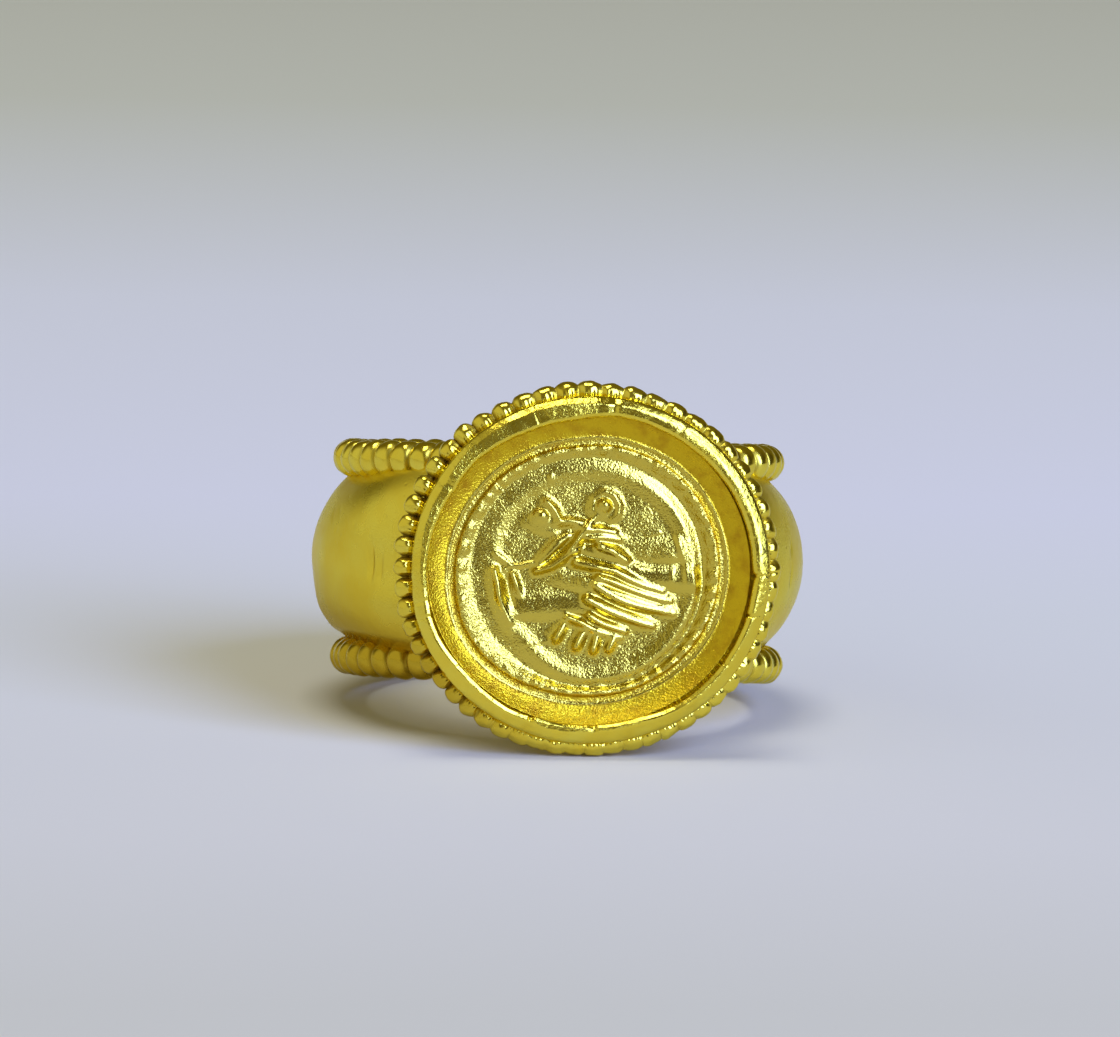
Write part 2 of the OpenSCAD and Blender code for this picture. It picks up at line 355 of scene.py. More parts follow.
def rim_rows(turn):
    """Rows of radius and distance from the hoop axis over the rim, and the radius of its outer edge."""
    ring = RIM_LUMPS_R * np.stack([np.cos(turn), np.sin(turn), 0 * turn], -1)
    dented = sum(deep * near(turn, at, half) for at, half, deep, pushed in RIM_MARKS)
    pushed_out = sum(pushed * near(turn, at, half) for at, half, deep, pushed in RIM_MARKS)
    inner = along(turn, RIM_INNER) + lumps(ring, RIM_INNER_LUMPS) + pushed_out
    crest = inner + along(turn, RIM_CREST) + lumps(ring, RIM_CREST_LUMPS)
    outer = along(turn, RIM_OUTER) + lumps(ring, RIM_OUTER_LUMPS)
    top = RIM_TOP_Y + lumps(ring, RIM_TOP_LUMPS) - dented
    base = np.full_like(turn, RIM_BASE_Y)
    rows = [[inner + 0.03, base - 0.03], [inner, base]]
    # Inner side, from the rounded inner edge at 1 to the crest at 0
    side = crest - inner
    for k in np.linspace(1, 0, INNER_STEPS):
        bevel = np.clip(BEVEL_WIDTH - side * (1 - k), 0, BEVEL_WIDTH)
        drop = INNER_TILT * np.cos(turn) * side * k + along(turn, RIM_BEVEL) * bevel + 0.12 * k ** 20
        rows.append([crest - side * k, top - drop])
    # Filed flank, from the crest at 0 to the rounded outer edge at 1
    soft = along(turn, RIM_TURN)
    for k in np.linspace(0.04, 1, FLANK_STEPS):
        fall = np.where(k < soft, k * k / (2 * soft), k - soft / 2)
        drop = along(turn, RIM_SLOPE) * (outer - crest) * fall + 0.14 * k ** 12
        rows.append([crest + (outer - crest) * k, top - drop])
    return rows, outer


def make_cup():
    """The section swept round the cup's axis, closed by a pole on the floor and one where the neck ends."""
    turn = np.linspace(0, 2 * pi, CUP_STEPS, endpoint=False)
    rim, outer = rim_rows(turn)
    inside = [[np.full_like(turn, r), np.full_like(turn, y)] for r, y in CUP_INSIDE]
    wall = [[RIM_OUTER_R + (outer - RIM_OUTER_R) * k, np.full_like(turn, y)] for k, y in CUP_WALL]
    under = [[np.full_like(turn, r), np.full_like(turn, y)] for r, y in CUP_UNDER]
    r, y = np.array(inside + rim + wall + under).transpose(1, 0, 2)
    on_rim = smoothstep(RIM_BASE_Y, RIM_BASE_Y + 0.15, y)
    y = y + on_rim * lumps(cup_points(r, turn[None], y), CUP_LUMPS)
    points = cup_points(r, turn[None], y)
    # The neck ends in the middle of the band's sheet
    sheet_mid = BAND_BULGE_R - SHEET_T / 2
    for row, short in ((-1, 0), (-2, NECK_END)):
        x, z = points[row, :, 0], points[row, :, 2]
        reach = BULGE_C + np.sqrt(sheet_mid ** 2 - z ** 2)
        points[row, :, 1] = -np.sqrt(reach ** 2 - x ** 2) - short
    poles = [[CUP_X, -FLOOR_Y, CUP_Z], [CUP_X, -(BULGE_C + sheet_mid), CUP_Z]]
    return mesh_of_loops("bezel_cup", points, poles)


# Beaded wires

# Share of the seams' depth that wear has left round the cup, by angle in degrees from +X towards +Z
SEAM_KEPT = [(0, 0.55), (12, 0.8), (35, 0.62), (70, 0.5), (95, 0.6), (120, 0.85), (150, 1), (215, 0.95),
             (240, 0.5), (262, 0.3), (290, 0.5), (320, 0.55), (360, 0.55)]
PLEATS_PER_BEAD = 4
# Size of the largest bead against the plain one
LARGEST_BEAD = 1.02
BEND_SIZE = 3
KNOCK_SIZE = 0.6

WIRE_INPUTS = {
    "NodeSocketFloat": ["Circle Radius", "Bead Radius", "Seam", "Fullness", "Unlikeness", "First Bead",
                        "Crowding", "Oval", "Droop", "Wobble", "Pleats", "Wear", "Knocks"],
    "NodeSocketInt": ["Bead Count", "Steps", "Sides", "Seed"],
    "NodeSocketMaterial": ["Material"],
}


def bead_phase(tree, given, around, wave):
    """Counts the beads along the wire, a little crowded on one side as on a wire fitted by hand."""
    crowd = add(tree, "ShaderNodeMath", [wave, given["Crowding"], given["First Bead"]],
                operation="MULTIPLY_ADD")
    return add(tree, "ShaderNodeMath", [around, given["Bead Count"], crowd], operation="MULTIPLY_ADD")


def seam_pinch(tree, given, around, phase):
    """How far the wire is pinched at the seams between beads. Wear fills the seams by place."""
    within = add(tree, "ShaderNodeMath", [phase], operation="FRACT")
    centred = add(tree, "ShaderNodeMath", [within, 0.5], operation="SUBTRACT")
    doubled = add(tree, "ShaderNodeMath", [centred, 2.0], operation="MULTIPLY")
    share = add(tree, "ShaderNodeMath", [doubled], operation="ABSOLUTE")
    steep = add(tree, "ShaderNodeMath", [share, given["Fullness"]], operation="POWER")
    kept = add(tree, "ShaderNodeFloatCurve", {"Value": around})
    curve = kept.mapping.curves[0]
    for at, depth in SEAM_KEPT[1:-1]:
        curve.points.new(at / 360, depth)
    for point, (at, depth) in zip(curve.points, SEAM_KEPT):
        point.location = (at / 360, depth)
    kept.mapping.update()
    lost = add(tree, "ShaderNodeMath", [kept, 1.0], operation="SUBTRACT")
    worn = add(tree, "ShaderNodeMath", [lost, given["Wear"], 1.0], operation="MULTIPLY_ADD")
    seam = add(tree, "ShaderNodeMath", [worn, given["Seam"]], operation="MULTIPLY")
    return add(tree, "ShaderNodeMath", [steep, seam], operation="MULTIPLY")


def bead_size(tree, given, phase, pinch):
    """Thickness along the wire: full beads, no two of them quite alike, between pinched seams."""
    left = add(tree, "ShaderNodeMath", [1.0, pinch], operation="SUBTRACT")
    root = add(tree, "ShaderNodeMath", [1.0, given["Fullness"]], operation="DIVIDE")
    bead = add(tree, "ShaderNodeMath", [left, root], operation="POWER")
    number = add(tree, "ShaderNodeMath", [phase], operation="FLOOR")
    least = add(tree, "ShaderNodeMath", [1.0, given["Unlikeness"]], operation="SUBTRACT")
    luck = add(tree, "FunctionNodeRandomValue",
               {LEAST: least, MOST: LARGEST_BEAD, "ID": number, "Seed": given["Seed"]}, data_type="FLOAT")
    return add(tree, "ShaderNodeMath", [bead, luck.outputs[DRAWN]], operation="MULTIPLY")


def wire_bends(tree, given, turn, wave, position):
    """Shift of the wire's line: an oval outline, the droop of its right end, and small bends."""
    twice = add(tree, "ShaderNodeMath", [turn, 2.0], operation="MULTIPLY")
    oval_wave = add(tree, "ShaderNodeMath", [twice], operation="COSINE")
    oval = add(tree, "ShaderNodeMath", [oval_wave, given["Oval"]], operation="MULTIPLY")
    stretch = add(tree, "ShaderNodeVectorMath", {0: position, "Scale": oval}, operation="SCALE")
    rightward = add(tree, "ShaderNodeMath", [wave, 0.0], operation="MAXIMUM")
    end = add(tree, "ShaderNodeMath", [rightward, 4.0], operation="POWER")
    drop = add(tree, "ShaderNodeMath", [end, given["Droop"]], operation="MULTIPLY")
    down = add(tree, "ShaderNodeCombineXYZ", {"Z": drop})
    bends = add(tree, "ShaderNodeTexNoise",
                {"Vector": position, "W": given["Seed"], "Scale": per_mm(BEND_SIZE), "Detail": 0.0},
                noise_dimensions="4D").outputs["Color"]
    bend = add(tree, "ShaderNodeVectorMath", [bends, (0.5, 0.5, 0.5)], operation="SUBTRACT")
    wobble = add(tree, "ShaderNodeVectorMath", {0: bend, "Scale": given["Wobble"]}, operation="SCALE")
    moved = add(tree, "ShaderNodeVectorMath", [stretch, down], operation="ADD")
    return add(tree, "ShaderNodeVectorMath", [moved, wobble], operation="ADD")


def pleat_height(tree, given, position, normal):
    """Fine pleats from the rolling tool, which fade out towards the outer side of the wire."""
    stored = add(tree, "GeometryNodeInputNamedAttribute", {"Name": "phase"}, data_type="FLOAT")
    turn = add(tree, "ShaderNodeMath", [stored, 2 * pi * PLEATS_PER_BEAD], operation="MULTIPLY")
    pleat = add(tree, "ShaderNodeMath", [turn], operation="COSINE")
    outward = add(tree, "ShaderNodeVectorMath", [position], operation="NORMALIZE")
    facing = add(tree, "ShaderNodeVectorMath", [normal, outward], operation="DOT_PRODUCT")
    mask = add(tree, "ShaderNodeMapRange", [facing.outputs["Value"], 0.45, -0.2, 0.0, 1.0])
    amount = add(tree, "ShaderNodeMath", [pleat, given["Pleats"]], operation="MULTIPLY")
    return add(tree, "ShaderNodeMath", [amount, mask], operation="MULTIPLY")


def knock_height(tree, given, position):
    """Knocks and dents of wear."""
    battered = add(tree, "ShaderNodeTexNoise",
                   {"Vector": position, "W": given["Seed"], "Scale": per_mm(KNOCK_SIZE), "Detail": 1.0},
                   noise_dimensions="4D")
    dent = add(tree, "ShaderNodeMath", [battered, 0.5], operation="SUBTRACT")
    return add(tree, "ShaderNodeMath", [dent, given["Knocks"]], operation="MULTIPLY")


def beaded_wire_tree():
    """Wire rolled into beads and bent into a circle round Z that starts at +X."""
    tree = bpy.data.node_groups.new("beaded_wire", "GeometryNodeTree")
    for kind, names in WIRE_INPUTS.items():
        for name in names:
            tree.interface.new_socket(name, in_out="INPUT", socket_type=kind)
    tree.interface.new_socket("Geometry", in_out="OUTPUT", socket_type="NodeSocketGeometry")
    given = add(tree, "NodeGroupInput").outputs
    position = add(tree, "GeometryNodeInputPosition")
    normal = add(tree, "GeometryNodeInputNormal")
    around = add(tree, "GeometryNodeSplineParameter")
    turn = add(tree, "ShaderNodeMath", [around, 2 * pi], operation="MULTIPLY")
    wave = add(tree, "ShaderNodeMath", [turn], operation="COSINE")
    phase = bead_phase(tree, given, around, wave)
    pinch = seam_pinch(tree, given, around, phase)

    points = add(tree, "ShaderNodeMath", [given["Bead Count"], given["Steps"]], operation="MULTIPLY")
    line = add(tree, "GeometryNodeCurvePrimitiveCircle",
               {"Resolution": points, RADIUS: given["Circle Radius"]}, mode="RADIUS")
    line = add(tree, "GeometryNodeSetPosition",
               {"Geometry": line, "Offset": wire_bends(tree, given, turn, wave, position)})
    for name, value in (("phase", phase), ("seam", pinch)):
        line = add(tree, "GeometryNodeStoreNamedAttribute",
                   {"Geometry": line, "Name": name, "Value": value}, data_type="FLOAT", domain="POINT")
    profile = add(tree, "GeometryNodeCurvePrimitiveCircle",
                  {"Resolution": given["Sides"], RADIUS: given["Bead Radius"]}, mode="RADIUS")
    wire = add(tree, "GeometryNodeCurveToMesh",
               {"Curve": line, "Profile Curve": profile, "Scale": bead_size(tree, given, phase, pinch)})
    for height in (pleat_height(tree, given, position, normal), knock_height(tree, given, position)):
        push = add(tree, "ShaderNodeVectorMath", {0: normal, "Scale": height}, operation="SCALE")
        wire = add(tree, "GeometryNodeSetPosition", {"Geometry": wire, "Offset": push})

    smooth = add(tree, "GeometryNodeSetShadeSmooth", {"Geometry": wire})
    real = add(tree, "GeometryNodeRealizeInstances", {"Geometry": smooth})
    painted = add(tree, "GeometryNodeSetMaterial", {"Geometry": real, "Material": given["Material"]})
    add(tree, "NodeGroupOutput", {"Geometry": painted})
    return tree


def make_wire(name, tree, values, to_ring):
    """Runs the wire tree with these named inputs, and makes the result a plain mesh in its place."""
    carrier = bpy.data.objects.new(name + "_carrier", bpy.data.meshes.new(name + "_carrier"))
    bpy.context.scene.collection.objects.link(carrier)
    modifier = carrier.modifiers.new("wire", "NODES")
    modifier.node_group = tree
    for item in tree.interface.items_tree:
        if item.in_out == "INPUT" and item.name in values:
            modifier[item.identifier] = values[item.name]
    graph = bpy.context.evaluated_depsgraph_get()
    mesh = bpy.data.meshes.new_from_object(carrier.evaluated_get(graph))
    carrier.modifiers.clear()
    bpy.data.objects.remove(carrier)
    mesh.name = name
    mesh.transform(TO_REST @ to_ring @ Matrix.Scale(1 / MM, 4))
    piece = bpy.data.objects.new(name, mesh)
    bpy.context.scene.collection.objects.link(piece)
    return piece


def make_wires(gold):
    """The wires along the band's upper and lower edge, and the finer one round the cup."""
    tree = beaded_wire_tree()
    edge = {"Circle Radius": EDGE_WIRE_R * MM, "Bead Count": EDGE_BEADS, "Bead Radius": EDGE_BEAD_R * MM,
            "Seam": 0.74, "Fullness": 2.5, "Unlikeness": 0.05, "Steps": 20, "Sides": 36,
            "Knocks": 0.1 * MM, "Material": gold}
    upper = make_wire("edge_wire_upper", tree, edge | {"Wobble": 0.05 * MM, "Seed": 3},
                      Matrix.Translation((0, 0, EDGE_Z)))
    lower = make_wire("edge_wire_lower", tree, edge | {"Wobble": 0.04 * MM, "Seed": 8, "Droop": -0.22 * MM},
                      Matrix.Translation((0, 0, -EDGE_Z)))
    cup = {"Circle Radius": CUP_WIRE_R * MM, "Bead Count": CUP_BEADS, "Bead Radius": CUP_BEAD_R * MM,
           "Seam": 0.97, "Fullness": 2.2, "Unlikeness": 0.1, "First Bead": 0.75, "Crowding": 0.75,
           "Oval": OVAL, "Wobble": 0.1 * MM, "Pleats": 0.02 * MM, "Wear": 1.0, "Knocks": 0.2 * MM,
           "Steps": 28, "Sides": 28, "Seed": 5, "Material": gold}
    to_cup = Matrix.Translation((CUP_X, -CUP_WIRE_Y, CUP_Z)) @ Matrix.Rotation(pi / 2, 4, "X")
    return upper, lower, make_wire("bezel_wire", tree, cup, to_cup)


# Medallion relief. A stroke is a chain of points, each with x, y, width and height in millimetres.
# Fingers of the near hand, from the index finger down, as lines along their tops
FINGERS = [
    [(-0.5, 0.28, 0.4, 0.34), (0.4, 0.1, 0.42, 0.44), (1.2, -0.06, 0.44, 0.38), (1.9, -0.42, 0.46, 0.28),
     (2.6, -0.72, 0.42, 0.18), (3.3, -0.92, 0.36, 0.1)],
    [(0.5, -0.36, 0.36, 0.44), (1.2, -0.58, 0.42, 0.37), (1.9, -0.86, 0.42, 0.28), (2.5, -1.07, 0.42, 0.2),
     (3.2, -1.26, 0.4, 0.12), (3.62, -1.34, 0.36, 0.08)],
    [(0.35, -0.7, 0.42, 0.46), (0.9, -1.02, 0.56, 0.4), (1.4, -1.24, 0.66, 0.34), (1.9, -1.42, 0.68, 0.27),
     (2.6, -1.6, 0.6, 0.18), (3.3, -1.76, 0.5, 0.11), (3.75, -1.86, 0.46, 0.06)],
    [(0.0, -1.32, 0.46, 0.46), (0.6, -1.62, 0.56, 0.4), (1.15, -1.86, 0.58, 0.32), (1.8, -2.1, 0.56, 0.23),
     (2.4, -2.3, 0.48, 0.14), (2.85, -2.42, 0.42, 0.08)],
    [(0.1, -2.06, 0.4, 0.38), (0.65, -2.38, 0.44, 0.3), (1.2, -2.57, 0.42, 0.22), (1.65, -2.7, 0.38, 0.14)],
    [(-0.9, -2.12, 0.26, 0.3), (-0.3, -2.34, 0.32, 0.28), (0.3, -2.66, 0.34, 0.22), (0.9, -2.86, 0.32, 0.15),
     (1.5, -2.98, 0.3, 0.08)],
]
FINGER_TOP = 0.26
# Other folds that slope the same way as a finger, with the width and height of each point
FOLDS = [
    # Main stem, its left branch and the bands of the far hand's sleeve
    [(0.1, 2.02, 0.26, 0.24), (-0.2, 1.6, 0.34, 0.32), (-0.5, 1.2, 0.36, 0.38), (-0.82, 0.84, 0.3, 0.44)],
    [(-1.35, 2.06, 0.2, 0.3), (-0.8, 2.12, 0.24, 0.22), (-0.25, 2.08, 0.22, 0.14)],
    [(-0.1, 1.72, 0.3, 0.36), (0.5, 1.75, 0.3, 0.28), (1.2, 1.64, 0.26, 0.16)],
    [(0.0, 1.36, 0.3, 0.38), (0.6, 1.42, 0.32, 0.3), (1.4, 1.32, 0.26, 0.16)],
    # Knuckle of the far hand and the lower part of the thumb
    [(0.5, 1.02, 0.36, 0.44), (1.1, 0.8, 0.46, 0.36), (1.7, 0.44, 0.4, 0.2)],
    [(-2.3, -0.12, 0.24, 0.34), (-1.6, 0.12, 0.34, 0.36), (-0.8, 0.72, 0.34, 0.38), (-0.5, 0.78, 0.3, 0.34)],
    # Rims of the two buds
    [(0.2, 3.1, 0.16, 0.12), (0.7, 3.42, 0.2, 0.12), (1.15, 3.25, 0.26, 0.12), (1.38, 2.85, 0.28, 0.12),
     (1.34, 2.4, 0.26, 0.12), (1.0, 2.1, 0.2, 0.12)],
    [(-1.85, 2.95, 0.26, 0.2), (-1.5, 2.6, 0.32, 0.2), (-1.28, 2.2, 0.3, 0.18)],
    # Cuffs
    [(-4.1, -0.1, 0.28, 0.2), (-3.95, -0.7, 0.4, 0.27), (-3.88, -1.3, 0.38, 0.25), (-3.68, -1.8, 0.28, 0.2),
     (-3.38, -2.4, 0.22, 0.12)],
    [(-3.3, -0.25, 0.24, 0.2), (-3.1, -0.8, 0.26, 0.2), (-2.95, -1.2, 0.2, 0.1)],
    [(3.98, 1.4, 0.22, 0.12), (4.1, 1.0, 0.26, 0.15), (4.26, 0.5, 0.22, 0.1)],
    # Finger ends of the far hand
    [(-0.9, -2.3, 0.32, 0.1), (-1.1, -2.65, 0.4, 0.2), (-1.35, -3.05, 0.38, 0.28)],
    [(0.0, -2.66, 0.34, 0.12), (-0.24, -2.98, 0.42, 0.2), (-0.46, -3.4, 0.38, 0.28)],
    [(0.5, -2.78, 0.34, 0.12), (0.42, -3.14, 0.4, 0.2), (0.3, -3.55, 0.36, 0.28)],
    [(1.25, -2.98, 0.34, 0.12), (1.12, -3.24, 0.38, 0.18), (0.98, -3.5, 0.34, 0.24)],
]
# Broad rounded masses
MASSES = [
    # Near forearm and hand
    [(-3.35, -1.88, 1.1, 0.15), (-2.6, -1.72, 1.4, 0.2), (-1.9, -1.66, 1.5, 0.23), (-1.1, -1.6, 1.6, 0.25),
     (-0.3, -1.54, 1.5, 0.27), (0.5, -1.7, 1.2, 0.28)],
    # Web between the thumb and the index finger
    [(-0.7, 0.5, 0.6, 0.32), (0.0, 0.32, 0.6, 0.32), (0.8, 0.14, 0.6, 0.3), (1.5, -0.1, 0.5, 0.28)],
    # Thumb, in two parts beside its groove
    [(-0.85, 1.46, 0.5, 0.3), (-1.35, 1.08, 0.74, 0.42), (-1.78, 0.62, 0.72, 0.42), (-2.2, 0.24, 0.5, 0.28)],
    [(-0.4, 0.95, 0.6, 0.36), (-0.85, 0.64, 0.66, 0.42), (-1.3, 0.3, 0.66, 0.4), (-1.75, 0.02, 0.52, 0.34),
     (-2.2, -0.12, 0.36, 0.2)],
    # Far hand
    [(0.0, 0.8, 0.7, 0.28), (0.6, 0.68, 0.9, 0.36), (1.15, 0.52, 1.0, 0.42), (1.55, 0.36, 0.8, 0.36)],
    [(-0.15, 1.45, 0.46, 0.34), (0.5, 1.46, 0.48, 0.34), (1.1, 1.42, 0.4, 0.24), (1.6, 1.36, 0.3, 0.12)],
    # Far forearm
    [(1.9, -0.02, 0.9, 0.24), (2.8, -0.3, 1.15, 0.26), (3.6, -0.36, 1.3, 0.26), (4.4, -0.4, 1.4, 0.24),
     (4.9, -0.4, 1.4, 0.2)],
    # Stems that cross above the hands
    [(-0.95, 0.72, 0.44, 0.34), (-0.55, 1.16, 0.52, 0.5), (-0.36, 1.56, 0.52, 0.52), (0.0, 1.96, 0.46, 0.4),
     (0.35, 2.3, 0.42, 0.28)],
    [(-0.25, 1.84, 0.42, 0.4), (-0.65, 2.0, 0.44, 0.34), (-1.1, 2.0, 0.42, 0.3), (-1.5, 1.95, 0.4, 0.26)],
    # Left bud, right bud and the leaf
    [(-2.15, 2.18, 1.3, 0.24), (-1.95, 2.22, 1.36, 0.26)],
    [(0.5, 2.66, 1.4, 0.24), (0.72, 2.7, 1.46, 0.26)],
    [(-2.75, 2.05, 0.5, 0.1), (-2.1, 1.75, 0.6, 0.15), (-1.45, 1.6, 0.44, 0.14)],
    # Hollow between the thumb and the near hand, and the one over the far forearm, which rise to the right
    [(-1.7, -0.3, 1.0, 0.04), (-0.9, -0.45, 1.2, 0.2), (-0.1, -0.65, 1.3, 0.44), (0.4, -0.8, 1.2, 0.56)],
    [(1.9, 0.95, 1.2, 0.04), (2.8, 0.85, 1.4, 0.12), (3.7, 0.8, 1.4, 0.24)],
    # Left sleeve
    [(-4.25, -0.2, 0.7, 0.16), (-4.2, -1.1, 1.0, 0.26), (-3.95, -2.0, 1.0, 0.26), (-3.5, -2.75, 0.6, 0.14)],
]
# Narrower round ridges and knobs on the masses
RIDGES = [
    [(-0.62, 0.34, 0.24, 0.1), (0.0, 0.34, 0.3, 0.12), (0.5, 0.26, 0.26, 0.08)],
    [(-0.75, 0.1, 0.16, 0.1), (-0.2, 0.06, 0.16, 0.12), (0.35, -0.04, 0.14, 0.1)],
    [(-2.14, 2.3, 0.7, 0.26), (-2.1, 2.3, 0.72, 0.26)],
    [(0.69, 2.79, 0.7, 0.36), (0.71, 2.79, 0.7, 0.36)],
    [(-4.05, 0.62, 0.3, 0.18), (-3.7, 0.36, 0.36, 0.22), (-3.45, 0.16, 0.3, 0.16)],
    [(-3.67, -0.06, 0.3, 0.2), (-3.65, -0.05, 0.3, 0.2)],
    [(-3.5, 0.08, 0.22, 0.2), (-2.95, 0.12, 0.24, 0.22), (-2.45, 0.24, 0.24, 0.22)],
    [(-1.3, -2.45, 0.16, 0.1), (-1.75, -2.82, 0.14, 0.08)],
    [(3.66, -1.14, 0.26, 0.12), (3.72, -1.22, 0.26, 0.12)],
    [(3.55, -1.74, 0.44, 0.12), (3.78, -1.8, 0.44, 0.12)],
    [(2.72, -2.36, 0.36, 0.12), (2.86, -2.42, 0.36, 0.12)],
    [(3.74, 0.6, 0.2, 0.05), (3.74, -0.5, 0.2, 0.05)],
    [(4.32, 0.4, 0.22, 0.07), (4.4, -0.7, 0.22, 0.07)],
    [(1.8, 0.56, 0.12, 0.08), (2.3, -0.04, 0.1, 0.05)],
    [(2.6, 1.5, 0.18, 0.06), (3.15, 1.64, 0.2, 0.1)],
    [(-1.66, 4.02, 0.24, 0.16), (-1.62, 3.92, 0.24, 0.16)],
    [(-3.68, 1.5, 0.12, 0.06), (-3.5, 1.08, 0.12, 0.06)],
    [(-2.9, -3.38, 0.22, 0.06), (-2.1, -3.2, 0.24, 0.08), (-1.3, -3.16, 0.24, 0.08)],
]
# Grooves along and between them
GROOVES = [
    [(-0.8, 1.2, 0.34, 0.14), (-1.18, 0.86, 0.28, 0.26), (-1.5, 0.58, 0.24, 0.28), (-1.85, 0.26, 0.22, 0.24),
     (-2.15, 0.03, 0.14, 0.1)],
    [(0.3, -0.1, 0.14, 0.1), (1.0, -0.24, 0.14, 0.1), (1.6, -0.52, 0.14, 0.1), (2.2, -0.76, 0.14, 0.1),
     (3.3, -1.06, 0.14, 0.08)],
    [(0.7, -0.56, 0.12, 0.08), (1.3, -0.84, 0.14, 0.1), (1.9, -1.02, 0.14, 0.1), (2.6, -1.27, 0.14, 0.1),
     (3.3, -1.5, 0.14, 0.08)],
    [(1.1, -1.0, 0.1, 0.04), (1.7, -1.22, 0.1, 0.05), (2.4, -1.46, 0.1, 0.05), (3.0, -1.6, 0.1, 0.03)],
    [(0.6, -1.26, 0.14, 0.08), (0.9, -1.42, 0.14, 0.1), (1.4, -1.6, 0.16, 0.11), (1.9, -1.8, 0.16, 0.11),
     (2.5, -1.95, 0.16, 0.1), (3.2, -2.0, 0.16, 0.08)],
    [(0.4, -1.98, 0.12, 0.06), (0.7, -2.1, 0.14, 0.1), (1.2, -2.26, 0.16, 0.1), (1.8, -2.37, 0.16, 0.1),
     (2.3, -2.5, 0.14, 0.08)],
    [(-0.9, -1.92, 0.16, 0.06), (-0.2, -2.12, 0.24, 0.16), (0.3, -2.44, 0.24, 0.18), (0.8, -2.64, 0.22, 0.16),
     (1.3, -2.8, 0.2, 0.14), (1.7, -2.88, 0.16, 0.08)],
    [(-0.15, 1.18, 0.2, 0.14), (0.3, 1.08, 0.2, 0.16), (0.75, 0.96, 0.16, 0.08)],
    [(-0.35, 0.62, 0.12, 0.06), (0.3, 0.48, 0.14, 0.08), (1.2, 0.3, 0.14, 0.06)],
    [(-0.02, 2.18, 0.12, 0.1), (0.26, 2.42, 0.12, 0.08)],
    [(0.28, 2.6, 0.14, 0.08), (0.34, 3.05, 0.14, 0.08), (0.7, 3.22, 0.14, 0.08), (1.06, 3.04, 0.14, 0.08),
     (1.14, 2.7, 0.14, 0.08), (0.9, 2.4, 0.14, 0.06)],
    [(-2.56, 2.4, 0.14, 0.08), (-2.3, 2.7, 0.14, 0.08), (-1.9, 2.66, 0.14, 0.08), (-1.68, 2.4, 0.14, 0.08),
     (-1.72, 2.12, 0.14, 0.06)],
    [(-3.52, -0.5, 0.2, 0.08), (-3.42, -1.1, 0.2, 0.1), (-3.24, -1.7, 0.18, 0.08)],
]
RELIEF_CELL = 0.035
RELIEF_REACH = 5.4
# Width of a stroke's body and of the shingle along its top, against the width in its table
BODY_WIDTH = 1.7
TOP_WIDTH = 1.1
# Heights of the worn masses, ridges and grooves, against those in their tables
MASS_KEPT = 0.65
RIDGE_KEPT = 0.6
GROOVE_KEPT = 0.6
# How far the bodies, the tops and the grooves are rounded, in millimetres
BODY_SOFT = 0.09
TOP_SOFT = 0.05
GROOVE_SOFT = 0.04
# Cells on each side that the rounding takes in
BLUR_CELLS = 6
# Share of its half width over which a broad stroke is flat
BROAD_FLAT = 0.3


def stroke_heights(x, y, chain, section):
    """Height of one stroke over each point. Its section is broad, round, or a shingle that is highest on the
    right of the way it runs and slopes down to the left."""
    best = np.zeros_like(x)
    for (x1, y1, w1, h1), (x2, y2, w2, h2) in zip(chain, chain[1:]):
        dx, dy = x2 - x1, y2 - y1
        length = np.hypot(dx, dy)
        k = np.clip(((x - x1) * dx + (y - y1) * dy) / length ** 2, 0, 1)
        half = 0.5 * (w1 + k * (w2 - w1))
        off = np.hypot(x - x1 - k * dx, y - y1 - k * dy) / half
        if section == "broad":
            shape = smoothstep(1, BROAD_FLAT, off)
        elif section == "round":
            shape = np.clip(1 - off * off, 0, 1)
        else:
            side = (dx * (y - y1) - dy * (x - x1)) / length / half
            shape = np.clip((1 - side) / 1.3, 0, 1) * smoothstep(-1, -0.3, side) * smoothstep(1.05, 0.7, off)
        best = np.maximum(best, (h1 + k * (h2 - h1)) * shape)
    return best


def softened(values, reach):
    """Blurs a square field of heights by reach millimetres, as sheet pressed over a die rounds its detail."""
    steps = np.arange(-BLUR_CELLS, BLUR_CELLS + 1)
    weights = np.exp(-0.5 * (steps * RELIEF_CELL / reach) ** 2)
    weights = weights / weights.sum()
    values = sum(w * np.roll(values, k, axis=0) for w, k in zip(weights, steps))
    return sum(w * np.roll(values, k, axis=1) for w, k in zip(weights, steps))


def tallest(x, y, chains, section):
    """Height over each point of the tallest of these strokes."""
    return np.max([stroke_heights(x, y, chain, section) for chain in chains], axis=0)


def hands_relief():
    """Heights of the clasped hands on an even grid of x and y."""
    line = np.arange(-RELIEF_REACH, RELIEF_REACH + RELIEF_CELL, RELIEF_CELL)
    x, y = np.meshgrid(line, line, indexing="ij")
    folds = FINGERS + FOLDS
    bodies = [[(px, py, BODY_WIDTH * w, h) for px, py, w, h in fold] for fold in folds]
    tops = [[(px, py, TOP_WIDTH * w, FINGER_TOP * w) for px, py, w, h in fold] for fold in folds]
    low = np.maximum(MASS_KEPT * tallest(x, y, MASSES, "broad"), tallest(x, y, bodies, "broad"))
    high = np.maximum(RIDGE_KEPT * tallest(x, y, RIDGES, "round"), tallest(x, y, tops, "shingle"))
    cut = GROOVE_KEPT * tallest(x, y, GROOVES, "broad")
    return softened(low, BODY_SOFT) + softened(high, TOP_SOFT) - softened(cut, GROOVE_SOFT)


